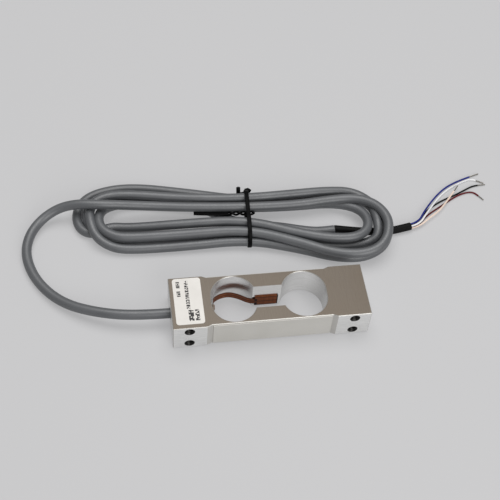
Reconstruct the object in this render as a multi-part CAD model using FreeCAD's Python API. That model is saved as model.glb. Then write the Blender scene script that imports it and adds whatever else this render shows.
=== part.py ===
import FreeCAD, Part
import math
import os

# Single point load cell with its cable, lying on its side, in millimetres.
# X runs along the beam, Y across its loaded depth, Z up through its thickness.
# The origin is the middle of the beam's footprint, on the surface that it lies on.

Vector = FreeCAD.Vector

# Beam
BEAM_LENGTH = 130.0
BEAM_DEPTH = 40.0
BEAM_THICKNESS = 22.0
EDGE_CHAMFER = 0.4

# Mounting pads stand proud of the gauged middle on both loaded faces
PAD_LENGTH = 22.2
PAD_HEIGHT = 1.4
RAMP_LENGTH = 3.2

# Two oval openings joined by a slot. Their round ends reach up to the thin walls under the
# gauges, so their radius follows from those walls and the straight length of their sides.
LOBE_SPACING = 46.8
LOBE_STRETCH = 5.6
HINGE_WALL = 1.0
SLOT_DEPTH = 16.4
RIM_CHAMFER = 0.35

# Mounting holes, two at each end, drilled through the depth and tapped from both loaded faces
THREAD_DIAMETER = 6.0
THREAD_DEPTH = 12.0
DRILL_DIAMETER = 5.0
HOLE_END_DISTANCE = 10.8
HOLE_PITCH = 13.0
HOLE_CHAMFER = 0.4

# Gauges under a cover coat in the lowered middle of each loaded face
GAUGE_LENGTH = 8.0
GAUGE_WIDTH = 5.0
GAUGE_THICKNESS = 0.2
COVER_THICKNESS = 0.7
COVER_END_GAP = 0.8
COVER_SIDE_GAP = 1.0

# Terminal board on the far wall of the slot, and the ribbon that leaves it. The ribbon's bends
# in the left lobe are shares of the lobe's radius, from the middle of its far round.
BOARD_END_GAP = 1.8
BOARD_WIDTH = 9.2
BOARD_THICKNESS = 1.0
BOARD_BOTTOM = 1.5
RIBBON_WIDTH = 5.6
RIBBON_THICKNESS = 0.3
RIBBON_BOTTOM = 3.2
RIBBON_INSET = 0.85
RIBBON_START_GAP = 0.05
RIBBON_FIRST_BEND = (-2.9, 0.3)
RIBBON_BENDS = [(0.33, 0.65), (-0.11, 0.80), (-0.55, 0.70), (-0.81, 0.53), (-0.85, 0.28)]

# Cable and its entry in the end face
CABLE_DIAMETER = 6.8
ENTRY_BORE_DIAMETER = 9.0
CORE_BORE_DIAMETER = 5.6
SEAL_LENGTH = 7.5
SEAL_FLOOR = 2.0
CORE_DIAMETER = 2.6
CORE_SETBACK = 1.8
CORE_BEND = (1.6, 1.0, -1.5)
CORE_END_GAP = 0.8

# Label on the upper face, near the cable's end
LABEL_LENGTH = 18.5
LABEL_DEPTH = 36.0
LABEL_THICKNESS = 0.15
LABEL_CORNER = 2.0
LABEL_END_GAP = 2.6
LABEL_OFFSET = 1.0

# The lead from the beam to the hank, as the corners of its route
LEAD_ROUTE = [
    (-86.0, 0.0, 11.0), (-112.0, 6.0, 9.2), (-135.0, 18.5, 5.0), (-151.0, 37.5, 3.5),
    (-158.5, 58.5, 3.5), (-157.0, 75.5, 3.8), (-148.5, 89.5, 5.2), (-133.0, 97.5, 7.8),
    (-113.0, 98.0, 10.2),
]

# The hank: a waisted ring, two layers of cable high
HANK_HEIGHT = 2 * CABLE_DIAMETER
HANK_EDGE = 3.0
HANK_OUTLINE = [
    (-127.0, 90.0), (-120.0, 110.5), (-99.0, 120.5), (-66.0, 115.0), (2.0, 101.0), (46.0, 105.5),
    (79.0, 103.5), (96.5, 88.0), (103.5, 65.0), (93.0, 43.0), (67.0, 32.0), (37.0, 39.5),
    (-6.0, 54.5), (-60.0, 53.0), (-93.0, 55.0), (-115.0, 67.5),
]
LEFT_EYE = [(-103.5, 89.0), (-94.0, 95.0), (-62.0, 92.0), (-37.0, 87.0), (-62.0, 84.0), (-94.0, 82.0)]
RIGHT_EYE = [
    (13.0, 83.0), (42.0, 85.0), (68.0, 83.5), (80.5, 75.0), (78.0, 66.5), (54.0, 66.0), (34.0, 72.0),
]

# Tie round the waist of the hank
TIE_THICKNESS = 1.8
TIE_WIDTH = 2.0
TIE_PLACE = (-3.4, 77.3)
TIE_SPAN = 47.0
TIE_CORNER = 3.0
TIE_RISE = 0.8
TIE_TURN = 5.0
TIE_TAIL = 12.0
TIE_TAIL_OFFSET = 4.2

# Shrink sleeve over the stripped end, with five conductors
SLEEVE_DIAMETER = 5.6
SLEEVE_ROUTE = [(58.0, 65.5, 2.9), (79.0, 61.2, 2.9), (98.0, 59.9, 2.9), (113.5, 63.0, 2.9)]
CHANNEL_CLEARANCE = 0.3
WIRE_DIAMETER = 1.3
WIRE_RING_DIAMETER = 3.2
WIRE_STRAIGHT = 7.0
TIP_DIAMETER = 1.0
# Seat of each conductor round the sleeve's end in degrees, the corners of its route, and the
# length of its tinned tip, which runs on from the last corner
WIRES = {
    "blue": (54.0, 8.0, [
        (128.0, 77.4, 2.3), (143.5, 94.4, 0.9), (157.0, 102.8, 0.7), (170.0, 107.0, 0.7),
    ]),
    "white": (126.0, 6.0, [
        (128.0, 73.4, 3.0), (143.0, 91.0, 0.9), (154.0, 98.6, 0.7), (164.5, 103.2, 0.7),
        (170.8, 104.9, 0.7), (174.0, 103.0, 0.7),
    ]),
    "black": (342.0, 6.0, [
        (128.8, 77.4, 0.8), (142.0, 85.6, 0.7), (154.0, 90.2, 0.7), (163.5, 94.8, 0.7),
        (170.0, 98.0, 0.7), (174.0, 98.3, 0.7),
    ]),
    "cream": (198.0, 6.5, [
        (129.5, 69.6, 2.6), (138.5, 75.6, 2.4), (146.0, 83.6, 2.4), (154.0, 93.0, 2.3),
    ]),
    "red": (270.0, 5.0, [
        (128.5, 73.2, 0.8), (141.5, 81.0, 0.7), (153.5, 88.6, 0.7), (161.5, 91.8, 0.7),
        (167.0, 92.4, 0.7), (170.2, 90.9, 0.7), (172.0, 88.2, 0.7),
    ]),
}

MIDDLE = BEAM_THICKNESS / 2
END_FACE = -BEAM_LENGTH / 2
GAUGED_DEPTH = BEAM_DEPTH - 2 * PAD_HEIGHT
LOBE_RADIUS = GAUGED_DEPTH / 2 - HINGE_WALL - LOBE_STRETCH / 2
SLOT_WALL = SLOT_DEPTH / 2
SLOT_END = LOBE_SPACING / 2 - math.sqrt(LOBE_RADIUS ** 2 - (SLOT_WALL - LOBE_STRETCH / 2) ** 2)
BOARD_END = SLOT_END - BOARD_END_GAP


def place(points, height=0.0):
    """Vectors from plan points or points in space."""
    return [Vector(p[0], p[1], p[2] if len(p) > 2 else height) for p in points]


def corner(before, point, after):
    """Arc that rounds one corner of a route, with its two ends and its radius."""
    back = before - point
    ahead = after - point
    reach = 0.45 * min(back.Length, ahead.Length)
    turn = math.pi - back.getAngle(ahead)
    radius = reach / math.tan(turn / 2)
    start = point + back.normalize() * reach
    end = point + ahead.normalize() * reach
    inward = (back + ahead).normalize()
    middle = point + inward * (radius / math.cos(turn / 2) - radius)
    return start, middle, end, radius


def rounded(points, closed=False):
    """Wire of straight runs joined by tangent arcs, with its smallest radius."""
    count = len(points)
    inner = range(count) if closed else range(1, count - 1)
    corners = [corner(points[i - 1], points[i], points[(i + 1) % count]) for i in inner]
    edges = []
    last = corners[-1][2] if closed else points[0]
    for start, middle, end, radius in corners:
        edges.append(Part.LineSegment(last, start).toShape())
        edges.append(Part.Arc(start, middle, end).toShape())
        last = end
    if not closed:
        edges.append(Part.LineSegment(last, points[-1]).toShape())
    return Part.Wire(edges), min(c[3] for c in corners)


def tube(name, points, diameter):
    """Solid round tube along a route, with its facts printed."""
    path, tightest = rounded(points)
    section = Part.Wire(Part.makeCircle(diameter / 2, points[0], points[1] - points[0]))
    solid = path.makePipeShell([section], True, False)
    expected = math.pi * diameter ** 2 / 4 * path.Length
    print(
        f"{name}: length {path.Length:.1f}, tightest radius {tightest:.1f}, "
        f"volume share {solid.Volume / expected:.4f}"
    )
    return solid


def strip(points, width, bottom, height):
    """Upright strip of one thickness along a plan route."""
    path = rounded(place(points, bottom))[0]
    along = (path.Edges[0].Vertexes[1].Point - path.Edges[0].Vertexes[0].Point).normalize()
    across = Vector(-along.y, along.x, 0) * (width / 2)
    start = path.Edges[0].Vertexes[0].Point
    rise = Vector(0, 0, height)
    section = Part.makePolygon([
        start - across, start + across, start + across + rise, start - across + rise, start - across,
    ])
    return path.makePipeShell([section], True, False)


def slab(points, bottom, height):
    """Prism over a rounded plan outline."""
    wire = rounded(place(points, bottom), True)[0]
    return Part.Face(wire).extrude(Vector(0, 0, height))


def box(x_range, y_range, z_range):
    size = [high - low for low, high in (x_range, y_range, z_range)]
    return Part.makeBox(*size, Vector(x_range[0], y_range[0], z_range[0]))


def end_cylinder(diameter, length):
    """Cylinder from the cable's end face into the beam, on the entry's axis."""
    return Part.makeCylinder(diameter / 2, length, Vector(END_FACE, 0, MIDDLE), Vector(1, 0, 0))


def lobe(centre, radius, height, bottom=0.0):
    """Oval prism: two round cuts, one above the other along Y, and what lies between."""
    half = LOBE_STRETCH / 2
    ends = [Part.makeCylinder(radius, height, Vector(centre, y, bottom)) for y in (-half, half)]
    web = box((centre - radius, centre + radius), (-half, half), (bottom, bottom + height))
    return web.fuse(ends).removeSplitter()


def beam_outline():
    """Plan of the beam: long faces lowered between the mounting pads."""
    end = BEAM_LENGTH / 2
    pad = end - PAD_LENGTH
    ramp = pad - RAMP_LENGTH
    high = BEAM_DEPTH / 2
    low = GAUGED_DEPTH / 2
    far = [(end, high), (pad, high), (ramp, low), (-ramp, low), (-pad, high), (-end, high)]
    near = [(-x, -y) for x, y in far]
    return Part.makePolygon([Vector(x, y, 0) for x, y in far + near + far[:1]])


def mounting_hole(x, z):
    """Drilled hole through the beam's depth, tapped and countersunk at both loaded faces."""
    drill = DRILL_DIAMETER / 2
    thread = THREAD_DIAMETER / 2
    mouth = thread + HOLE_CHAMFER
    half = BEAM_DEPTH / 2
    inner = half - THREAD_DEPTH
    near = [(0, -half), (mouth, -half), (thread, -half + HOLE_CHAMFER), (thread, -inner), (drill, -inner)]
    far = [(radius, -y) for radius, y in near[::-1]]
    profile = Part.makePolygon([Vector(radius, y, 0) for radius, y in near + far + near[:1]])
    hole = Part.Face(profile).revolve(Vector(0, 0, 0), Vector(0, 1, 0), 360)
    hole.translate(Vector(x, 0, z))
    return hole


def openings():
    """The two lobes and the slot between them, with broken edges at both faces."""
    shape = box(
        (-LOBE_SPACING / 2, LOBE_SPACING / 2), (-SLOT_DEPTH / 2, SLOT_DEPTH / 2), (0, BEAM_THICKNESS)
    )
    for side in (-1, 1):
        shape = shape.fuse(lobe(side * LOBE_SPACING / 2, LOBE_RADIUS, BEAM_THICKNESS))
    rims = []
    for side in (-1, 1):
        for bottom in (0, BEAM_THICKNESS - RIM_CHAMFER):
            rims.append(rim(side * LOBE_SPACING / 2, bottom))
    return shape.fuse(rims)


def rim(centre, bottom):
    """Chamfer at the mouth of one lobe."""
    wide = LOBE_RADIUS + RIM_CHAMFER
    lower, upper = (wide, LOBE_RADIUS) if bottom == 0 else (LOBE_RADIUS, wide)
    half = LOBE_STRETCH / 2
    cones = [
        Part.makeCone(lower, upper, RIM_CHAMFER, Vector(centre, y, bottom)) for y in (-half, half)
    ]
    profile = Part.makePolygon([
        Vector(centre - lower, -half, bottom), Vector(centre + lower, -half, bottom),
        Vector(centre + upper, -half, bottom + RIM_CHAMFER),
        Vector(centre - upper, -half, bottom + RIM_CHAMFER), Vector(centre - lower, -half, bottom),
    ])
    web = Part.Face(profile).extrude(Vector(0, LOBE_STRETCH, 0))
    return web.fuse(cones)


def is_outer(edge):
    """True for an edge round a side face or at a corner of an end face."""
    first, second = [v.Point for v in edge.Vertexes]
    return abs(first.z - second.z) < 1e-6 or abs(abs(first.x) - BEAM_LENGTH / 2) < 1e-6


def beam_body():
    block = Part.Face(beam_outline()).extrude(Vector(0, 0, BEAM_THICKNESS))
    block = block.makeChamfer(EDGE_CHAMFER, [e for e in block.Edges if is_outer(e)])
    block = block.cut(openings())
    x = BEAM_LENGTH / 2 - HOLE_END_DISTANCE
    holes = [
        mounting_hole(end * x, MIDDLE + level * HOLE_PITCH / 2) for end in (-1, 1) for level in (-1, 1)
    ]
    entry = end_cylinder(ENTRY_BORE_DIAMETER, SEAL_LENGTH)
    passage = end_cylinder(CORE_BORE_DIAMETER, (BEAM_LENGTH - LOBE_SPACING) / 2)
    return block.cut(holes + [entry, passage])


def gauge(lobe_side, face_side):
    """Strain gauge bonded over the thinnest wall of one lobe."""
    x = lobe_side * LOBE_SPACING / 2
    near = face_side * GAUGED_DEPTH / 2
    far = near + face_side * GAUGE_THICKNESS
    return box(
        (x - GAUGE_LENGTH / 2, x + GAUGE_LENGTH / 2), (min(near, far), max(near, far)),
        (MIDDLE - GAUGE_WIDTH / 2, MIDDLE + GAUGE_WIDTH / 2),
    )


def gauge_cover(face_side, gauges):
    """Cover coat along one lowered face, closed round the two gauges under it."""
    half = BEAM_LENGTH / 2 - PAD_LENGTH - RAMP_LENGTH - COVER_END_GAP
    near = face_side * GAUGED_DEPTH / 2
    far = near + face_side * COVER_THICKNESS
    coat = box(
        (-half, half), (min(near, far), max(near, far)), (COVER_SIDE_GAP, BEAM_THICKNESS - COVER_SIDE_GAP)
    )
    return coat.cut(gauges)


def terminal_board():
    return box(
        (-BOARD_END, BOARD_END), (SLOT_WALL - BOARD_THICKNESS, SLOT_WALL),
        (BOARD_BOTTOM, BOARD_BOTTOM + BOARD_WIDTH),
    )


def ribbon_route():
    """Plan of the ribbon, from the board's left end and along the left lobe's far wall."""
    start = (-BOARD_END - RIBBON_START_GAP, SLOT_WALL - RIBBON_INSET)
    first = (-SLOT_END + RIBBON_FIRST_BEND[0], SLOT_WALL + RIBBON_FIRST_BEND[1])
    bends = [
        (-LOBE_SPACING / 2 + LOBE_RADIUS * a, LOBE_STRETCH / 2 + LOBE_RADIUS * b)
        for a, b in RIBBON_BENDS
    ]
    return [start, first] + bends


def entry_seal():
    """Potted cup that holds the cable in the end face."""
    cup = end_cylinder(ENTRY_BORE_DIAMETER, SEAL_LENGTH)
    return cup.cut(end_cylinder(CABLE_DIAMETER, SEAL_LENGTH - SEAL_FLOOR))


def core_tail():
    """Conductors from the seal through the bore to the ribbon's end."""
    start = Vector(END_FACE + SEAL_LENGTH, 0, MIDDLE)
    mouth = Vector(-LOBE_SPACING / 2 - LOBE_RADIUS, 0, MIDDLE)
    x, y = ribbon_route()[-1]
    end = Vector(x, y - CORE_END_GAP, RIBBON_BOTTOM + RIBBON_WIDTH / 2)
    route = [start, mouth - Vector(CORE_SETBACK, 0, 0), mouth + Vector(*CORE_BEND), end]
    return tube("core_tail", route, CORE_DIAMETER)


def rating_label():
    x = END_FACE + LABEL_END_GAP + LABEL_LENGTH / 2
    half_x = LABEL_LENGTH / 2
    half_y = LABEL_DEPTH / 2
    sheet = box(
        (x - half_x, x + half_x), (LABEL_OFFSET - half_y, LABEL_OFFSET + half_y),
        (BEAM_THICKNESS, BEAM_THICKNESS + LABEL_THICKNESS),
    )
    uprights = [e for e in sheet.Edges if abs(e.Vertexes[0].Z - e.Vertexes[1].Z) > 1e-6]
    return sheet.makeFillet(LABEL_CORNER, uprights)


def cable_lead(hank):
    start = Vector(END_FACE + SEAL_LENGTH - SEAL_FLOOR, 0, MIDDLE)
    route = [start] + place(LEAD_ROUTE)
    return tube("cable_lead", route, CABLE_DIAMETER).cut(hank)


def hank_tie():
    """Band round the hank's waist with its free end standing up behind."""
    half = TIE_SPAN / 2
    top = HANK_HEIGHT + TIE_RISE
    outer = upright_frame(half + TIE_THICKNESS, 0, top)
    inner = upright_frame(half, TIE_THICKNESS, top - TIE_THICKNESS)
    band = outer.cut(inner)
    near = -TIE_TAIL_OFFSET - TIE_WIDTH / 2
    tail = box(
        (near, near + TIE_WIDTH),
        (half, half + TIE_THICKNESS), (HANK_HEIGHT / 2, HANK_HEIGHT / 2 + TIE_TAIL),
    )
    link = box(
        (near, TIE_WIDTH / 2), (half, half + TIE_THICKNESS),
        (HANK_HEIGHT / 2 - TIE_WIDTH / 2, HANK_HEIGHT / 2 + TIE_WIDTH / 2),
    )
    tie = band.fuse([tail, link]).removeSplitter()
    tie.rotate(Vector(0, 0, 0), Vector(0, 0, 1), -TIE_TURN)
    tie.translate(Vector(TIE_PLACE[0], TIE_PLACE[1], 0))
    return tie


def upright_frame(half_span, bottom, top):
    """Rounded slab that stands across the hank."""
    slab_shape = box((-TIE_WIDTH / 2, TIE_WIDTH / 2), (-half_span, half_span), (bottom, top))
    corners = [e for e in slab_shape.Edges if abs(e.Vertexes[0].X - e.Vertexes[1].X) > 1e-6]
    return slab_shape.makeFillet(TIE_CORNER, corners)


def cable_hank(tie):
    """Waisted ring of cable, open at both eyes, with room for the sleeve and the tie."""
    body = slab(HANK_OUTLINE, 0, HANK_HEIGHT)
    top = [
        e for e in body.Edges
        if all(abs(v.Z - HANK_HEIGHT) < 1e-6 for v in e.Vertexes)
    ]
    body = body.makeChamfer(HANK_EDGE, top)
    eyes = [slab(outline, 0, HANK_HEIGHT) for outline in (LEFT_EYE, RIGHT_EYE)]
    plan = [point[:2] for point in SLEEVE_ROUTE]
    width = SLEEVE_DIAMETER + 2 * CHANNEL_CLEARANCE
    channel = strip(plan, width, 0, SLEEVE_DIAMETER + CHANNEL_CLEARANCE)
    return body.cut(eyes + [channel, tie])


def sleeve_end():
    """End point of the sleeve and the direction in which it points."""
    last, end = place(SLEEVE_ROUTE)[-2:]
    return end, (end - last).normalize()


def wire_route(name):
    """Corners of one conductor's route, from its seat in the sleeve's end."""
    angle, _, corners = WIRES[name]
    end, along = sleeve_end()
    across = Vector(-along.y, along.x, 0)
    turn = math.radians(angle)
    offset = across * math.cos(turn) + Vector(0, 0, 1) * math.sin(turn)
    seat = end + offset * (WIRE_RING_DIAMETER / 2)
    return [seat, seat + along * WIRE_STRAIGHT] + place(corners)


def wire_tip(name):
    """Tinned end of one conductor, in line with the conductor's last run."""
    before, last = wire_route(name)[-2:]
    return Part.makeCylinder(TIP_DIAMETER / 2, WIRES[name][1], last, last - before)


def build():
    os.makedirs("parts", exist_ok=True)
    gauges = {(l, f): gauge(l, f) for l in (-1, 1) for f in (-1, 1)}
    side = {-1: "left", 1: "right"}
    face = {-1: "front", 1: "rear"}
    tie = hank_tie()
    hank = cable_hank(tie)
    parts = {
        "beam_body": beam_body(),
        "terminal_board": terminal_board(),
        "ribbon": strip(ribbon_route(), RIBBON_THICKNESS, RIBBON_BOTTOM, RIBBON_WIDTH),
        "core_tail": core_tail(),
        "entry_seal": entry_seal(),
        "rating_label": rating_label(),
        "cable_lead": cable_lead(hank),
        "cable_hank": hank,
        "hank_tie": tie,
        "end_sleeve": tube("end_sleeve", place(SLEEVE_ROUTE), SLEEVE_DIAMETER),
    }
    for (l, f), shape in gauges.items():
        parts[f"gauge_{face[f]}_{side[l]}"] = shape
    for f in (-1, 1):
        parts[f"gauge_cover_{face[f]}"] = gauge_cover(f, [gauges[l, f] for l in (-1, 1)])
    for name in WIRES:
        parts[f"wire_{name}"] = tube(f"wire_{name}", wire_route(name), WIRE_DIAMETER)
        parts[f"tip_{name}"] = wire_tip(name)
    for name, shape in parts.items():
        shape.exportStep(f"parts/{name}.step")
        print(name, len(shape.Solids), "solid,", shape.isValid(), round(shape.Volume, 1))


build()
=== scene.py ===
import math

import bmesh
import bpy
from mathutils import Matrix, Vector


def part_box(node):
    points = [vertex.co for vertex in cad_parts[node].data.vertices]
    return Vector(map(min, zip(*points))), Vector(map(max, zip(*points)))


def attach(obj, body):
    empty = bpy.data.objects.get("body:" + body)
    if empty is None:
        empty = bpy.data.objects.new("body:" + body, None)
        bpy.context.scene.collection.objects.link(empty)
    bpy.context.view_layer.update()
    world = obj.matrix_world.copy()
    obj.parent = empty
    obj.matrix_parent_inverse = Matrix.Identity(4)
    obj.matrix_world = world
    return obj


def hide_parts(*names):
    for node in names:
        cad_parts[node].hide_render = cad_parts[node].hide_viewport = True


MM = 0.001
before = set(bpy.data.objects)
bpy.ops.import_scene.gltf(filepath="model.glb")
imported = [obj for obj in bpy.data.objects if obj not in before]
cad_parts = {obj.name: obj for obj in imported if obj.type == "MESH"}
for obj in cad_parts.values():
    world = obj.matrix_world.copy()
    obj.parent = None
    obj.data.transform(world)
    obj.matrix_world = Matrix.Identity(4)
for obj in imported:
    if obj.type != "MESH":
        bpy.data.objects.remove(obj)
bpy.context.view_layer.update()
scene = bpy.context.scene

# Places on the beam in millimetres: its middle height and loaded faces from its mesh, then
# half the length of the recess between the pads, ramps included, and the tapped holes
BEAM_LOW, BEAM_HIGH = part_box("beam_body")
MIDDLE = (BEAM_LOW.z + BEAM_HIGH.z) / 2 / MM
FACE_Y = BEAM_HIGH.y / MM
RECESS_HALF = 42.8
HOLE_X = 54.2
HOLE_RISE = 6.5
HOLE_Z = (MIDDLE - HOLE_RISE, MIDDLE + HOLE_RISE)

# ---------------------------------------------------------------- camera

CAMERA_PLACE = Vector((-96.94, -369.94, 577.77)) * MM
CAMERA_AIM = Vector((-4.06, 54.51, 0.0)) * MM
CAMERA_ROLL = math.radians(5.7)
CAMERA_LENS = 74.11


def make_camera():
    """Pinhole camera that looks down on the beam from its front left."""
    data = bpy.data.cameras.new("camera")
    data.lens = CAMERA_LENS
    data.sensor_width = 36.0
    data.clip_start = 0.01
    camera = bpy.data.objects.new("camera", data)
    scene.collection.objects.link(camera)
    turn = (CAMERA_AIM - CAMERA_PLACE).to_track_quat("-Z", "Y").to_matrix().to_4x4()
    camera.matrix_world = Matrix.Translation(CAMERA_PLACE) @ turn @ Matrix.Rotation(CAMERA_ROLL, 4, "Z")
    scene.camera = camera


make_camera()

# ---------------------------------------------------------------- helpers


def link(obj):
    """Puts a new piece in the scene, riding on the part's only body."""
    scene.collection.objects.link(obj)
    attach(obj, "root")
    return obj


def mesh_piece(name, bm, material):
    """Smooth-shaded piece from a finished bmesh, which is freed."""
    data = bpy.data.meshes.new(name)
    bm.normal_update()
    bm.to_mesh(data)
    bm.free()
    for polygon in data.polygons:
        polygon.use_smooth = True
    obj = bpy.data.objects.new(name, data)
    data.materials.append(material)
    return link(obj)


def nurbs(name, points, resolution, closed=False):
    """Curve with one NURBS spline; points are in millimetres."""
    data = bpy.data.curves.new(name, "CURVE")
    data.dimensions = "3D"
    data.resolution_u = resolution
    spline = data.splines.new("NURBS")
    spline.points.add(len(points) - 1)
    for control, point in zip(spline.points, points):
        control.co = (point[0] * MM, point[1] * MM, point[2] * MM, 1.0)
    spline.order_u = 3
    spline.use_cyclic_u = closed
    spline.use_endpoint_u = not closed
    return data


def line_of(data):
    """Places along a bare curve, in metres; the curve's own data isn't kept."""
    holder = bpy.data.objects.new("route", data)
    line = bpy.data.meshes.new_from_object(holder)
    found = [v.co.copy() for v in line.vertices]
    bpy.data.objects.remove(holder)
    bpy.data.meshes.remove(line)
    bpy.data.curves.remove(data)
    return found


def curve_piece(name, points, diameter, material):
    """Round cord along one open NURBS spline; points are in millimetres."""
    data = nurbs(name, points, 10)
    data.bevel_depth = diameter / 2 * MM
    data.bevel_resolution = 6
    data.use_fill_caps = True
    data.materials.append(material)
    obj = bpy.data.objects.new(name, data)
    return link(obj)


def length_of(points):
    """Length in metres of a cord's route through these control points."""
    line = line_of(nurbs("route", points, 12))
    return sum((b - a).length for a, b in zip(line, line[1:]))


# ---------------------------------------------------------------- materials


def srgb(*values):
    """Linear colour from 0-255 display values."""
    return tuple(
        (v / 255 / 12.92 if v <= 10 else ((v / 255 + 0.055) / 1.055) ** 2.4) for v in values
    ) + (1.0,)


class Nodes:
    """Short calls for one material's node tree."""

    def __init__(self, name):
        self.material = bpy.data.materials.new(name)
        self.material.use_nodes = True
        self.tree = self.material.node_tree
        self.shader = self.tree.nodes["Principled BSDF"]
        self.place = self.tree.nodes.new("ShaderNodeTexCoord").outputs["Object"]

    def add(self, kind, inputs=(), **settings):
        node = self.tree.nodes.new(kind)
        for key, value in settings.items():
            setattr(node, key, value)
        for key, value in dict(inputs).items():
            if isinstance(value, bpy.types.NodeSocket):
                self.tree.links.new(value, node.inputs[key])
            else:
                node.inputs[key].default_value = value
        return node

    def math(self, operation, a, b=0.0, c=0.0):
        return self.add("ShaderNodeMath", {0: a, 1: b, 2: c}, operation=operation).outputs[0]

    def stretch(self, scale):
        """The piece's own coordinates, scaled by a different amount along each axis."""
        return self.add("ShaderNodeMapping", {"Vector": self.place, "Scale": scale}).outputs[0]

    def noise(self, scale, detail=3.0, vector=None):
        values = {"Vector": vector or self.place, "Scale": scale, "Detail": detail, "Roughness": 0.5}
        return self.add("ShaderNodeTexNoise", values).outputs["Fac"]

    def ramp(self, factor, stops):
        node = self.add("ShaderNodeValToRGB", {"Fac": factor})
        elements = node.color_ramp.elements
        while len(elements) < len(stops):
            elements.new(0.5)
        for element, (position, colour) in zip(elements, stops):
            element.position = position
            element.color = colour
        return node.outputs["Color"]

    def mix(self, factor, a, b):
        node = self.add("ShaderNodeMix", data_type="RGBA")
        for socket, value in ((node.inputs[0], factor), (node.inputs[6], a), (node.inputs[7], b)):
            if isinstance(value, bpy.types.NodeSocket):
                self.tree.links.new(value, socket)
            else:
                socket.default_value = value
        return node.outputs[2]

    def span(self, value, low, high, to_low=0.0, to_high=1.0):
        """Maps the range low to high onto another range, and holds it at both ends."""
        values = {0: value, 1: low, 2: high, 3: to_low, 4: to_high}
        return self.add("ShaderNodeMapRange", values).outputs[0]

    def bump(self, height, strength, distance):
        """Raises the surface by a height pattern, without moving its mesh."""
        values = {"Height": height, "Strength": strength, "Distance": distance}
        normal = self.add("ShaderNodeBump", values).outputs[0]
        self.tree.links.new(normal, self.shader.inputs["Normal"])

    def set(self, **values):
        """Sets or links the shader's sockets, named with underscores for spaces."""
        for key, value in values.items():
            socket = self.shader.inputs[key.replace("_", " ")]
            if isinstance(value, bpy.types.NodeSocket):
                self.tree.links.new(value, socket)
            else:
                socket.default_value = value


def plastic(name, dark, light, roughness, grain=900.0, bump=0.08, specular=0.5):
    """Matte or satin plastic with a faint mottle and a fine skin."""
    n = Nodes(name)
    n.set(Specular_IOR_Level=specular)
    cloud = n.noise(60.0, 4.0)
    n.set(Base_Color=n.ramp(cloud, [(0.3, dark), (0.7, light)]))
    fine = n.noise(grain, 2.0)
    n.set(Roughness=n.span(fine, 0.3, 0.7, roughness - 0.06, roughness + 0.06))
    n.bump(fine, bump, 0.0002)
    return n.material


COAT_DARK = srgb(188, 186, 180)
COAT_LIGHT = srgb(195, 193, 188)
GROUND_DARK = srgb(97, 90, 83)
GROUND_LIGHT = srgb(115, 108, 99)
GROUND_WARM = srgb(103, 94, 84)
MILLED_DARK = srgb(216, 216, 215)
MILLED_LIGHT = srgb(235, 235, 234)
TURNED_DARK = srgb(232, 231, 229)
TURNED_LIGHT = srgb(250, 250, 249)
# Painted shade for the openings' walls where they face along the beam
TURNED_PAINTED_SHADE = srgb(196, 195, 193)
# Painted shade: chamfers darker than the faces round them, as at the holes' mouths
CHAMFER_PAINTED_SHADE = srgb(178, 176, 172)
# Painted shade: near black for the walls of the tapped holes
HOLE_PAINTED_SHADE = srgb(52, 51, 50)
# Millimetres from the beam's middle: limits just outside the openings, along and across it, and
# just inside the lowered faces; then the radius round a hole's axis that takes the holes' painted shade
OPENING_REACH = 50.0
OPENING_DEPTH = 17.9
RECESS_FACE = 18.0
HOLE_SURROUND = 3.5


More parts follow.
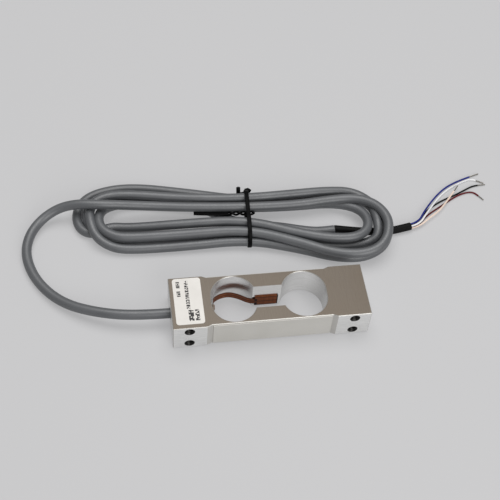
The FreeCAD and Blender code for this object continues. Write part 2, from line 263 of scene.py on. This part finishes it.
def metal_of_beam():
    """Ground upper and lower faces, milled loaded faces, and bright turned openings."""
    n = Nodes("beam_aluminium")
    split = n.add("ShaderNodeSeparateXYZ", {0: n.place}).outputs
    normal = n.add("ShaderNodeTexCoord").outputs["Normal"]
    facing = n.add("ShaderNodeSeparateXYZ", {0: normal}).outputs
    along = n.math("ABSOLUTE", split[0])
    aside = n.math("ABSOLUTE", split[1])
    tilt = [n.math("ABSOLUTE", facing[axis]) for axis in range(3)]
    flat = n.math("GREATER_THAN", tilt[2], 0.9)
    wall = n.math("LESS_THAN", tilt[2], 0.3)

    # Walls of the openings and the slot
    deep = n.math("LESS_THAN", aside, OPENING_DEPTH * MM)
    central = n.math("LESS_THAN", along, OPENING_REACH * MM)
    bore = n.math("MULTIPLY", wall, n.math("MULTIPLY", deep, central))

    # Walls of the tapped holes, round the axis of each, painted near black as the shade deep in the holes
    from_axis = [
        n.math("SUBTRACT", along, HOLE_X * MM),
        n.math("SUBTRACT", n.math("ABSOLUTE", n.math("SUBTRACT", split[2], MIDDLE * MM)), HOLE_RISE * MM),
    ]
    from_axis = n.math("ADD", *[n.math("POWER", value, 2.0) for value in from_axis])
    hole = n.math("LESS_THAN", from_axis, (HOLE_SURROUND * MM) ** 2)
    hole = n.math("MULTIPLY", hole, n.math("LESS_THAN", tilt[1], 0.9))
    hole = n.math("MULTIPLY", hole, n.math("LESS_THAN", tilt[2], 0.9999))

    # Chamfers, which face along no axis, painted darker as shade
    squared = [n.math("POWER", value, 8.0) for value in tilt]
    aligned = n.math("ADD", squared[0], n.math("ADD", squared[1], squared[2]))
    edge = n.math("MULTIPLY", n.math("LESS_THAN", aligned, 0.6), n.math("SUBTRACT", 1.0, bore))

    # Lowered faces between the pads, with the ramps
    coated = n.math("MULTIPLY", n.math("LESS_THAN", along, RECESS_HALF * MM), wall)
    coated = n.math("MULTIPLY", coated, n.math("GREATER_THAN", aside, RECESS_FACE * MM))

    ground = n.noise(1.0, 2.0, n.stretch((5200.0, 160.0, 160.0)))
    cloud = n.noise(26.0, 3.0)
    top = n.mix(n.span(ground, 0.3, 0.7), GROUND_DARK, GROUND_LIGHT)
    top = n.mix(n.span(cloud, 0.35, 0.7, 0.0, 0.5), top, GROUND_WARM)
    milled = n.noise(1.0, 2.0, n.stretch((220.0, 220.0, 4200.0)))
    side = n.mix(n.span(milled, 0.3, 0.7), MILLED_DARK, MILLED_LIGHT)
    turned = n.noise(1.0, 2.0, n.stretch((90.0, 90.0, 5200.0)))
    round_wall = n.mix(n.span(turned, 0.3, 0.7), TURNED_DARK, TURNED_LIGHT)
    # Painted shade: the openings' walls are darker where they face along the beam
    side_shade = n.span(n.math("POWER", tilt[0], 2.0), 0.1, 0.9, 0.0, 0.9)
    round_wall = n.mix(side_shade, round_wall, TURNED_PAINTED_SHADE)
    colour = n.mix(flat, side, top)
    colour = n.mix(bore, colour, round_wall)
    colour = n.mix(coated, colour, n.mix(cloud, COAT_DARK, COAT_LIGHT))
    colour = n.mix(edge, colour, CHAMFER_PAINTED_SHADE)
    # Painted shade in the tapped holes
    colour = n.mix(hole, colour, HOLE_PAINTED_SHADE)

    rough = n.mix(flat, n.span(milled, 0.3, 0.7, 0.34, 0.44), n.span(ground, 0.3, 0.7, 0.42, 0.54))
    rough = n.mix(bore, rough, n.span(turned, 0.3, 0.7, 0.16, 0.26))
    metallic = n.span(n.math("MAXIMUM", flat, bore), 0.0, 1.0, 0.6, 1.0)
    metallic = n.math("MULTIPLY", metallic, n.math("SUBTRACT", 1.0, coated))
    lines = n.mix(flat, milled, ground)
    lines = n.mix(bore, lines, turned)
    n.set(Base_Color=colour, Metallic=metallic, Roughness=rough)
    n.bump(lines, 0.10, 0.00006)
    return n.material


def coat():
    """Smooth cover coat over the gauges, thin enough to follow the metal."""
    n = Nodes("cover_coat")
    cloud = n.noise(45.0, 3.0)
    n.set(Base_Color=n.ramp(cloud, [(0.3, COAT_DARK), (0.7, COAT_LIGHT)]))
    n.set(Roughness=n.span(cloud, 0.3, 0.7, 0.42, 0.52))
    n.bump(n.noise(160.0, 2.0), 0.12, 0.0003)
    return n.material


def stripes(n, value, places, half):
    """1 on each thin stripe at these places, else 0."""
    total = None
    for place in places:
        away = n.math("ABSOLUTE", n.math("SUBTRACT", value, place))
        one = n.math("LESS_THAN", away, half)
        total = one if total is None else n.math("MAXIMUM", total, one)
    return total


def within(n, value, low, high):
    """1 where the value lies between two others, else 0."""
    above = n.math("GREATER_THAN", value, low)
    return n.math("MULTIPLY", above, n.math("LESS_THAN", value, high))


# Tracks and end pads of the flexible circuit as shares of its height, half their widths, how far
# the pads reach from the left end, and the dark edge at the right end, in millimetres
TRACKS = (0.04, 0.48, 0.94)
TRACK_HALF = 0.42
PADS = (0.22, 0.66)
PAD_HALF = 1.2
PAD_REACH = 1.6
FAR_EDGE = 0.7


def flex(name, box, end_marks):
    """Brown flexible circuit with darker tracks under its film, and dark pads at its left end."""
    n = Nodes(name)
    split = n.add("ShaderNodeSeparateXYZ", {0: n.place}).outputs
    low, high = box
    rise = high.z - low.z
    tracks = stripes(n, split[2], [low.z + rise * share for share in TRACKS], TRACK_HALF * MM)
    streak = n.noise(1.0, 3.0, n.stretch((700.0, 700.0, 90.0)))
    film = n.mix(n.span(streak, 0.3, 0.7), srgb(108, 57, 30), srgb(130, 74, 43))
    colour = n.mix(n.math("MULTIPLY", tracks, 0.8), film, srgb(62, 33, 22))
    if end_marks:
        near_end = n.math("LESS_THAN", split[0], low.x + PAD_REACH * MM)
        pads = stripes(n, split[2], [low.z + rise * share for share in PADS], PAD_HALF * MM)
        far_end = n.math("GREATER_THAN", split[0], high.x - FAR_EDGE * MM)
        colour = n.mix(n.math("MULTIPLY", near_end, pads), colour, srgb(22, 18, 18))
        colour = n.mix(far_end, colour, srgb(44, 26, 20))
    n.set(Base_Color=colour, Roughness=n.span(streak, 0.3, 0.7, 0.4, 0.55), Specular_IOR_Level=0.12)
    n.bump(tracks, 0.25, 0.0001)
    return n.material


# Marks on the label in millimetres. The block is (from, to) across from the left edge and along
# from the near edge; a row is start and width across, and (from, to) along from the far edge.
CODE_ACROSS = (8.5, 15.5)
CODE_ALONG = (2.6, 11.0)
CODE_GAP = 12.3
CODE_GAP_HALF = 0.45
CODE_CELL = 0.8
CODE_EMPTY = 0.27
PRINT_ROWS = ((7.7, 2.4, 2.0, 24.0), (2.2, 2.4, 2.5, 7.8), (2.2, 2.4, 10.0, 14.2))
PRINT_CELL = (0.77, 0.65)
PRINT_EMPTY = 0.16
LETTER_PITCH = 1.9
LETTER_GAP = 0.2


def label_film(box):
    """Off-white film with plain bars where print would be and one block of random squares."""
    n = Nodes("label_film")
    low, high = box
    split = n.add("ShaderNodeSeparateXYZ", {0: n.place}).outputs
    x, y = split[0], split[1]

    def cells(across, along, seed):
        """A random value for each cell of a grid."""
        snapped = [
            n.math("FLOOR", n.math("DIVIDE", value, size * MM)) for value, size in ((x, across), (y, along))
        ]
        joined = n.add("ShaderNodeCombineXYZ", {0: snapped[0], 1: snapped[1], 2: seed}).outputs[0]
        noise = n.add("ShaderNodeTexWhiteNoise", {"Vector": joined}, noise_dimensions="3D")
        return noise.outputs["Value"]

    def field(left, right, near, far):
        return n.math("MULTIPLY", within(n, x, left, right), within(n, y, near, far))

    block = field(
        low.x + CODE_ACROSS[0] * MM, low.x + CODE_ACROSS[1] * MM,
        low.y + CODE_ALONG[0] * MM, low.y + CODE_ALONG[1] * MM,
    )
    from_gap = n.math("ABSOLUTE", n.math("SUBTRACT", x, low.x + CODE_GAP * MM))
    block = n.math("MULTIPLY", block, n.math("GREATER_THAN", from_gap, CODE_GAP_HALF * MM))
    filled = n.math("GREATER_THAN", cells(CODE_CELL, CODE_CELL, 7.0), CODE_EMPTY)
    code = n.math("MULTIPLY", block, filled)
    letters = n.math("GREATER_THAN", n.math("FRACT", n.math("DIVIDE", y, LETTER_PITCH * MM)), LETTER_GAP)
    bars = None
    for start, width, first, last in PRINT_ROWS:
        row = field(
            low.x + start * MM, low.x + (start + width) * MM, high.y - last * MM, high.y - first * MM
        )
        filled = n.math("GREATER_THAN", cells(*PRINT_CELL, start), PRINT_EMPTY)
        marks = n.math("MULTIPLY", n.math("MULTIPLY", row, filled), letters)
        bars = marks if bars is None else n.math("MAXIMUM", bars, marks)
    printed = n.math("MAXIMUM", code, bars)
    paper = n.ramp(n.noise(70.0, 3.0), [(0.3, srgb(216, 213, 208)), (0.7, srgb(225, 222, 217))])
    n.set(Base_Color=n.mix(printed, paper, srgb(24, 23, 23)))
    n.set(Roughness=n.span(n.noise(900.0, 2.0), 0.3, 0.7, 0.42, 0.55))
    n.bump(n.noise(420.0, 2.0), 0.05, 0.0001)
    return n.material


def tinned():
    """Tinned copper strands, dull and slightly uneven."""
    n = Nodes("tinned_copper")
    fine = n.noise(2600.0, 2.0)
    n.set(Base_Color=n.ramp(fine, [(0.3, srgb(120, 116, 110)), (0.7, srgb(168, 164, 158))]))
    n.set(Metallic=1.0, Roughness=n.span(fine, 0.3, 0.7, 0.26, 0.42))
    return n.material


FOIL_PITCH = 0.5


def foil(name):
    """Bonded gauge: grid of fine foil lines on an amber film."""
    n = Nodes(name)
    split = n.add("ShaderNodeSeparateXYZ", {0: n.place}).outputs
    lines = n.math("FRACT", n.math("DIVIDE", split[2], FOIL_PITCH * MM))
    grid = n.math("GREATER_THAN", lines, 0.5)
    n.set(Base_Color=n.mix(grid, srgb(190, 150, 90), srgb(150, 110, 60)), Roughness=0.4)
    n.bump(grid, 0.2, 0.00005)
    return n.material


CABLE_MATERIAL = plastic("cable_jacket", srgb(82, 84, 87), srgb(90, 92, 95), 0.45, specular=0.9)
TIE_MATERIAL = plastic("tie_plastic", srgb(4, 4, 5), srgb(7, 7, 8), 0.5, specular=0.08)
SLEEVE_MATERIAL = plastic("shrink_sleeve", srgb(6, 6, 6), srgb(11, 11, 11), 0.6, 500.0, 0.2, specular=0.15)
SEAL_MATERIAL = plastic("potting", srgb(38, 38, 40), srgb(50, 50, 52), 0.6, 300.0, 0.25)
CORE_MATERIAL = plastic("core_jacket", srgb(132, 118, 106), srgb(148, 134, 122), 0.5)
TINNED_MATERIAL = tinned()
WIRE_MATERIALS = {
    "blue": plastic("wire_blue", srgb(22, 30, 104), srgb(32, 42, 126), 0.4, specular=0.3),
    "white": plastic("wire_white", srgb(222, 222, 224), srgb(234, 234, 235), 0.38),
    "black": plastic("wire_black", srgb(10, 10, 11), srgb(16, 16, 17), 0.45, specular=0.2),
    "cream": plastic("wire_cream", srgb(222, 200, 184), srgb(234, 214, 200), 0.38),
    "red": plastic("wire_red", srgb(78, 14, 20), srgb(96, 20, 26), 0.42, specular=0.25),
}


def dress(node, material):
    """Gives a CAD node its finished material."""
    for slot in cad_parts[node].material_slots:
        slot.material = material


def dress_nodes():
    """Finishes every CAD node that stays in view."""
    dress("beam_body", metal_of_beam())
    cover = coat()
    for face in ("front", "rear"):
        dress(f"gauge_cover_{face}", cover)
        for side in ("left", "right"):
            dress(f"gauge_{face}_{side}", foil(f"foil_{face}_{side}"))
    dress("terminal_board", flex("board_film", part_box("terminal_board"), True))
    dress("ribbon", flex("ribbon_film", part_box("ribbon"), False))
    dress("rating_label", label_film(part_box("rating_label")))
    dress("entry_seal", SEAL_MATERIAL)
    dress("core_tail", CORE_MATERIAL)
    dress("end_sleeve", SLEEVE_MATERIAL)


dress_nodes()

# ---------------------------------------------------------------- the cable

CABLE_DIAMETER = 6.8
LEAD = [
    (-59.5, 0, 11), (-86, 0, 11), (-112, 6, 9.2), (-135, 18.5, 5), (-151, 37.5, 3.5),
    (-158.5, 58.5, 3.5), (-157, 75.5, 3.8), (-149, 88.5, 5.5), (-136, 95.5, 10.0),
    (-122, 94.5, 15.0), (-108, 91.5, 16.4), (-94, 91.5, 14.5), (-72, 91.5, 11.0),
]
# Where each pass of the hank lies, (y, z) at these places along it
STATIONS = (-84.0, -45.0, -3.0, 33.0, 56.0)
NEAR_SHIFT = -2.5
TURNS = [
    {
        "out": [None, (88.3, 10.6), (84.3, 11.2), (83.8, 10.6), (86.2, 10.4)],
        "right": [(76, 85, 12.5), (89.5, 76, 15), (95.5, 60, 16), (90, 43, 14), (76, 35.5, 11.5)],
        "back": [(65.8, 9.3), (65.0, 10.0), (64.3, 11.4), (50.5, 10.4), (39, 10)],
        "left": [(-98, 68, 9.3), (-107, 76, 9.4), (-108, 88, 9.0), (-101, 98, 5.5)],
    },
    {
        "out": [(101.5, 3.5), (95, 4.0), (88.3, 5.2), (87, 5), (87.5, 5.5)],
        "right": [(73, 82, 7.5), (81.5, 72, 9.4), (81.2, 58.8, 10.6), (71.5, 50.8, 10.8)],
        "back": [(78.5, 3.6), (75, 8.8), (72.3, 11.7), (58.2, 10.8), (51.6, 10.6)],
        "left": [
            (-100, 81, 3.5), (-110, 75.5, 3.5), (-119.5, 78.5, 3.5), (-123.5, 89.5, 3.5),
            (-120.5, 103, 3.5), (-109, 112.5, 3.5),
        ],
    },
    {
        "out": [(116, 3.5), (107, 4.0), (95.2, 5.2), (95.2, 4.5), (96, 3.5)],
        "right": [
            (76, 92, 4.5), (87.2, 80.4, 8.8), (88.6, 64.3, 11.4), (87, 52.2, 7.6), (78.8, 50.2, 3.8),
            (67, 49.4, 3.5),
        ],
        "back": [(68.2, 3.5), (67, 4), (66.3, 5.2), (56.8, 3.9), (49.4, 3.5)],
        "left": [
            (-100, 69, 3.5), (-110, 74.5, 4.0), (-116.5, 86, 6.0), (-114.5, 97, 8.0), (-103, 104.5, 9.5),
        ],
    },
    {
        "out": [(104.2, 9.6), (97, 9.8), (92.4, 11.1), (94, 10.4), (95.4, 9.6)],
        "right": [(76.5, 95, 7.5), (89.8, 82.5, 7.0), (96.8, 65, 8.6), (92, 46, 6.5), (75, 37.5, 4.0)],
        "back": [(59.6, 3.5), (59, 4), (59.5, 5.6), (49.5, 4.2), (40.2, 3.6)],
        "left": [
            (-100, 62, 4.5), (-110.5, 70, 7.5), (-114, 83.5, 10.5), (-113, 97, 8.5), (-104, 107.5, 5.5),
        ],
    },
]
TAIL = [
    (-84, 108.5, 3.5), (-53, 100.5, 3.6), (-32, 91, 3.8), (-17, 79.5, 4.4), (-3, 73, 5.2),
    (18, 70.0, 4.4), (38, 64.9, 3.5), (48, 63.6, 3.4), (57.5, 64.3, 3.4),
]


def hank_points():
    """Control points of the hank's turns: out over the far side, round, and back over the near side."""
    points = []
    for turn in TURNS:
        points += [(x, *place) for x, place in zip(STATIONS, turn["out"]) if place]
        points += turn["right"]
        points += [(x + NEAR_SHIFT, *place) for x, place in zip(STATIONS, turn["back"])][::-1]
        points += turn["left"]
    return points


def make_cable():
    """The whole cable as one cord: free lead, the hank's turns and the tail into the sleeve."""
    points = LEAD + hank_points() + TAIL
    cable = curve_piece("cable", points, CABLE_DIAMETER, CABLE_MATERIAL)
    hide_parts("cable_lead", "cable_hank")
    length = length_of(points)
    make_tie()


# ---------------------------------------------------------------- the conductors

WIRE_DIAMETER = 1.3
WIRE_RING_DIAMETER = 3.2
WIRE_STRAIGHT = 7.0
TIP_DIAMETER = 1.0
TIP_STRANDS = 6
TIP_PITCH = 5.0
TIP_STEPS = 16
SLEEVE_LAST = (98.0, 59.9, 2.9)
SLEEVE_END = (113.5, 63.0, 2.9)
# Seat round the sleeve's end in degrees, length of the tinned tip, corners of the route
WIRES = {
    "blue": (54, 8, [(128, 77.4, 2.3), (143.5, 94.4, 0.9), (157, 102.8, 0.7), (170, 107, 0.7)]),
    "white": (126, 6, [
        (128, 73.4, 3.0), (143, 91, 0.9), (154, 98.6, 0.7), (164.5, 103.2, 0.7),
        (170.8, 104.9, 0.7), (174, 103, 0.7),
    ]),
    "black": (342, 6, [
        (128.8, 77.4, 0.8), (142, 85.6, 0.7), (154, 90.2, 0.7), (163.5, 94.8, 0.7),
        (170, 98, 0.7), (174, 98.3, 0.7),
    ]),
    "cream": (198, 6.5, [(129.5, 69.6, 2.6), (138.5, 75.6, 2.4), (146, 83.6, 2.4), (154, 93, 2.3)]),
    "red": (270, 5, [
        (128.5, 73.2, 0.8), (141.5, 81, 0.7), (153.5, 88.6, 0.7), (161.5, 91.8, 0.7),
        (167, 92.4, 0.7), (170.2, 90.9, 0.7), (172, 88.2, 0.7),
    ]),
}


def wire_points(name):
    """Control points of one conductor, from its seat in the sleeve's end."""
    angle, _, corners = WIRES[name]
    end = Vector(SLEEVE_END)
    along = (end - Vector(SLEEVE_LAST)).normalized()
    across = Vector((-along.y, along.x, 0.0))
    turn = math.radians(angle)
    seat = end + (across * math.cos(turn) + Vector((0, 0, math.sin(turn)))) * (WIRE_RING_DIAMETER / 2)
    return [seat, seat + along * WIRE_STRAIGHT] + [Vector(c) for c in corners]


def tube_mesh(bm, line, radius, sides=8):
    """Adds a round tube with closed ends along a line of points in metres."""
    rings = []
    up = Vector((0, 0, 1))
    for i, point in enumerate(line):
        ahead = line[min(i + 1, len(line) - 1)] - line[max(i - 1, 0)]
        ahead.normalize()
        first = up.cross(ahead)
        if first.length < 0.1:
            first = Vector((1, 0, 0)).cross(ahead)
        first.normalize()
        second = ahead.cross(first)
        ring = []
        for k in range(sides):
            a = 2 * math.pi * k / sides
            ring.append(bm.verts.new(point + (first * math.cos(a) + second * math.sin(a)) * radius))
        rings.append(ring)
    for before, after in zip(rings, rings[1:]):
        for k in range(sides):
            bm.faces.new((before[k], before[(k + 1) % sides], after[(k + 1) % sides], after[k]))
    bm.faces.new(rings[0][::-1])
    bm.faces.new(rings[-1])


def make_tip(name):
    """Twisted tinned strands that stand out of one conductor."""
    before, last = wire_points(name)[-2:]
    length = WIRES[name][1]
    ahead = (last - before).normalized()
    first = Vector((0, 0, 1)).cross(ahead).normalized()
    second = ahead.cross(first)
    strand = TIP_DIAMETER / 6
    ring = TIP_DIAMETER / 2 - strand
    bm = bmesh.new()
    tube_mesh(bm, [last * MM, (last + ahead * length) * MM], strand * MM)
    for k in range(TIP_STRANDS):
        line = []
        for step in range(TIP_STEPS + 1):
            share = step / TIP_STEPS
            a = 2 * math.pi * (k / TIP_STRANDS + share * length / TIP_PITCH)
            offset = (first * math.cos(a) + second * math.sin(a)) * ring
            line.append((last + ahead * (length * share) + offset) * MM)
        tube_mesh(bm, line, strand * MM, 6)
    tip = mesh_piece(f"strands_{name}", bm, TINNED_MATERIAL)
    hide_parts(f"tip_{name}")
    return tip


def make_wires():
    """Five conductors, each a cord with its tinned tip."""
    for name in WIRES:
        points = wire_points(name)
        wire = curve_piece(f"conductor_{name}", points, WIRE_DIAMETER, WIRE_MATERIALS[name])
        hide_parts(f"wire_{name}")
        length = length_of(points)
        make_tip(name)


# ---------------------------------------------------------------- the tie

TIE_TURN = math.radians(-3.2)
TIE_PLACE = (-3.1, 77.3)
TIE_WIDTH = 2.9
TIE_THICKNESS = 1.3
TIE_ROUNDING = 0.3
# Middle of the band round the strands, (y, z)
TIE_LOOP = [
    (60.0, 0.6), (56.5, 1.0), (54.6, 4.0), (54.9, 8.0), (57.5, 12.2), (61.5, 15.4), (67.0, 15.9),
    (72.0, 16.3), (78.0, 15.4), (84.5, 15.7), (91.0, 15.7), (96.6, 14.6), (100.0, 10.5),
    (100.6, 5.0), (98.6, 1.2), (94.0, 0.6), (85.0, 0.6), (72.0, 0.6),
]
# Cut end that stands up behind the strands, its hidden link to the band, and the band's fold
TIE_STUB = [(-4.9, 100.2, 6.0), (-5.0, 100.4, 8.4), (-5.1, 100.7, 10.4), (-5.2, 101.2, 12.4)]
TIE_LINK = [(-4.9, 100.2, 6.4), (-2.4, 100.7, 6.6), (-0.2, 100.7, 7.2)]
TIE_FOLD = [(-0.4, 99.8, 10.6), (1.6, 100.2, 11.2), (3.4, 99.4, 10.2)]
# The two crossed ends in the gap between the strands: where they run, where they begin to cross,
# the length of one crossing and of its onset, and how far they lie apart before and after it
ENDS_X = (-38.0, 5.0)
ENDS_Y = 80.4
ENDS_Z = 9.2
ENDS_RADIUS = 0.8
ENDS_STEPS = 96
CROSS_START = -14.0
CROSS_LENGTH = 5.2
CROSS_ONSET = 5.0
ENDS_APART = 0.95
CROSS_SPREAD = 0.25
CROSS_FLATNESS = 0.6
# How far the left ends tuck in under the strand above them, (y, z)
ENDS_TUCK = (2.4, -1.6)


def band_section():
    """Rounded rectangle of the band, (across, outward) in millimetres."""
    half_w = TIE_WIDTH / 2
    half_t = TIE_THICKNESS / 2
    corners = []
    for sx, sy, start in ((1, 1, 0), (-1, 1, 90), (-1, -1, 180), (1, -1, 270)):
        for step in range(3):
            a = math.radians(start + 45 * step)
            corners.append((
                sx * (half_w - TIE_ROUNDING) + TIE_ROUNDING * math.cos(a),
                sy * (half_t - TIE_ROUNDING) + TIE_ROUNDING * math.sin(a),
            ))
    return corners


def tie_frame():
    """Place and turn of the tie across the hank."""
    place = Vector((TIE_PLACE[0], TIE_PLACE[1], 0.0)) * MM
    return Matrix.Translation(place) @ Matrix.Rotation(TIE_TURN, 4, "Z") @ Matrix.Translation(
        Vector((0.0, -TIE_PLACE[1] * MM, 0.0))
    )


def add_band(bm):
    """Sweeps the band's section round the strands."""
    line = line_of(nurbs("loop", [(0.0, *place) for place in TIE_LOOP], 6, closed=True))
    section = band_section()
    across = Vector((1, 0, 0))
    rings = []
    for i, point in enumerate(line):
        ahead = (line[(i + 1) % len(line)] - line[i - 1]).normalized()
        outward = across.cross(ahead)
        rings.append([bm.verts.new(point + (across * u + outward * v) * MM) for u, v in section])
    for i, ring in enumerate(rings):
        after = rings[(i + 1) % len(rings)]
        for k in range(len(section)):
            m = (k + 1) % len(section)
            bm.faces.new((ring[k], ring[m], after[m], after[k]))


def crossed_end(phase):
    """Line of one of the two ends, which wind round each other as they near the band."""
    line = []
    for step in range(ENDS_STEPS + 1):
        share = step / ENDS_STEPS
        x = ENDS_X[0] + (ENDS_X[1] - ENDS_X[0]) * share
        swing = min(max((x - CROSS_START) / CROSS_ONSET, 0.0), 1.0)
        a = phase + math.pi * max(x - CROSS_START, 0.0) / CROSS_LENGTH
        reach = ENDS_APART + CROSS_SPREAD * swing
        tuck = (1 - share) ** 3
        y = ENDS_Y + reach * math.cos(a) + ENDS_TUCK[0] * tuck
        z = ENDS_Z + reach * math.sin(a) * CROSS_FLATNESS + ENDS_TUCK[1] * tuck
        line.append(Vector((x, y, z)) * MM)
    return line


def make_tie():
    """The black tie: band, cut end, fold and the two crossed ends, as one piece."""
    bm = bmesh.new()
    add_band(bm)
    for points, radius in ((TIE_STUB, 1.55), (TIE_LINK, 1.1), (TIE_FOLD, 1.5)):
        tube_mesh(bm, [Vector(p) * MM for p in points], radius * MM, 10)
    for phase in (0.0, math.pi):
        tube_mesh(bm, crossed_end(phase), ENDS_RADIUS * MM, 8)
    bmesh.ops.transform(bm, matrix=tie_frame(), verts=bm.verts)
    bmesh.ops.recalc_face_normals(bm, faces=bm.faces)
    tie = mesh_piece("tie_band", bm, TIE_MATERIAL)
    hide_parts("hank_tie")
    return tie


# ---------------------------------------------------------------- threads in the tapped holes

THREAD_RADIUS = 3.0
THREAD_HEIGHT = 0.5
THREAD_PITCH = 1.0
THREAD_RUN = (0.6, 11.6)
THREAD_STEPS = 28
# Section of the ridge: places along it as shares of the pitch, and its rise there
THREAD_SECTION = ((-0.46, 0.0), (-0.06, THREAD_HEIGHT), (0.06, THREAD_HEIGHT), (0.46, 0.0))
HOLE_GROUPS = {
    (-1, -1): "front_left", (-1, 1): "rear_left", (1, -1): "front_right", (1, 1): "rear_right",
}


def add_thread(bm, end, side, z):
    """Helical ridge in one tapped hole, from just inside its mouth."""
    turns = (THREAD_RUN[1] - THREAD_RUN[0]) / THREAD_PITCH
    previous = None
    for step in range(int(turns * THREAD_STEPS) + 1):
        a = 2 * math.pi * step / THREAD_STEPS
        depth = THREAD_RUN[0] + THREAD_PITCH * step / THREAD_STEPS
        row = []
        for shift, rise in THREAD_SECTION:
            radius = THREAD_RADIUS - rise
            y = side * (FACE_Y - depth - shift * THREAD_PITCH)
            spot = (end * HOLE_X + radius * math.cos(a), y, z + radius * math.sin(a))
            row.append(bm.verts.new(Vector(spot) * MM))
        if previous:
            for k in range(len(row) - 1):
                bm.faces.new((previous[k], previous[k + 1], row[k + 1], row[k]))
        previous = row


def make_threads(material):
    """One piece for the two holes at each end of each loaded face."""
    for (end, side), name in HOLE_GROUPS.items():
        bm = bmesh.new()
        for z in HOLE_Z:
            add_thread(bm, end, side, z)
        bmesh.ops.recalc_face_normals(bm, faces=bm.faces)
        mesh_piece(f"thread_{name}", bm, material)


def thread_painted_shade():
    """Metal of the cut threads, painted dark as the shade deep in the holes."""
    n = Nodes("thread_painted_shade")
    fine = n.noise(1500.0, 2.0)
    # Painted shade: dark grey stands for the shade deep in the holes
    n.set(Base_Color=n.ramp(fine, [(0.3, srgb(44, 43, 42)), (0.7, srgb(78, 77, 75))]))
    n.set(Metallic=1.0, Roughness=n.span(fine, 0.3, 0.7, 0.28, 0.45))
    return n.material


make_cable()
make_wires()
make_threads(thread_painted_shade())

# ---------------------------------------------------------------- light, floor and background

FLOOR_COLOUR = srgb(140, 140, 141)
FLOOR_GLOW = srgb(150, 150, 151)
FLOOR_SIZE = 8.0
FLOOR_DROP = 0.0002
WORLD_COLOUR = (1.0, 0.99, 0.975, 1.0)
WORLD_STRENGTH = 0.27


def make_floor():
    """Pale sheet under the part, lit a little from within so that contact shading stays soft."""
    n = Nodes("floor")
    n.set(Base_Color=FLOOR_COLOUR, Roughness=0.85, Specular_IOR_Level=0.2)
    n.set(Emission_Color=FLOOR_GLOW, Emission_Strength=1.0)
    bpy.ops.mesh.primitive_plane_add(size=FLOOR_SIZE, location=(0, 0, -FLOOR_DROP))
    floor = bpy.context.active_object
    floor.name = "floor"
    floor.data.materials.append(n.material)


def area_light(name, place, aim, size, power, colour):
    """Round area light; place, aim and size are in metres."""
    data = bpy.data.lights.new(name, "AREA")
    data.shape = "DISK"
    data.size = size
    data.energy = power
    data.color = colour
    lamp = bpy.data.objects.new(name, data)
    scene.collection.objects.link(lamp)
    lamp.location = place
    lamp.rotation_euler = (Vector(aim) - Vector(place)).to_track_quat("-Z", "Y").to_euler()


def make_light():
    """Even surroundings, a broad key light overhead and a weaker one from the front."""
    world = bpy.data.worlds.new("studio")
    world.use_nodes = True
    background = world.node_tree.nodes["Background"]
    background.inputs["Color"].default_value = WORLD_COLOUR
    background.inputs["Strength"].default_value = WORLD_STRENGTH
    scene.world = world
    area_light("key", (0.05, 0.45, 1.70), (0, 0.05, 0), 1.6, 22.5, (1.0, 0.994, 0.99))
    area_light("front", (0.45, -1.30, 0.85), (0, 0.02, 0), 1.1, 13.0, (1.0, 0.996, 0.992))


make_floor()
make_light()
scene.view_settings.view_transform = "Standard"
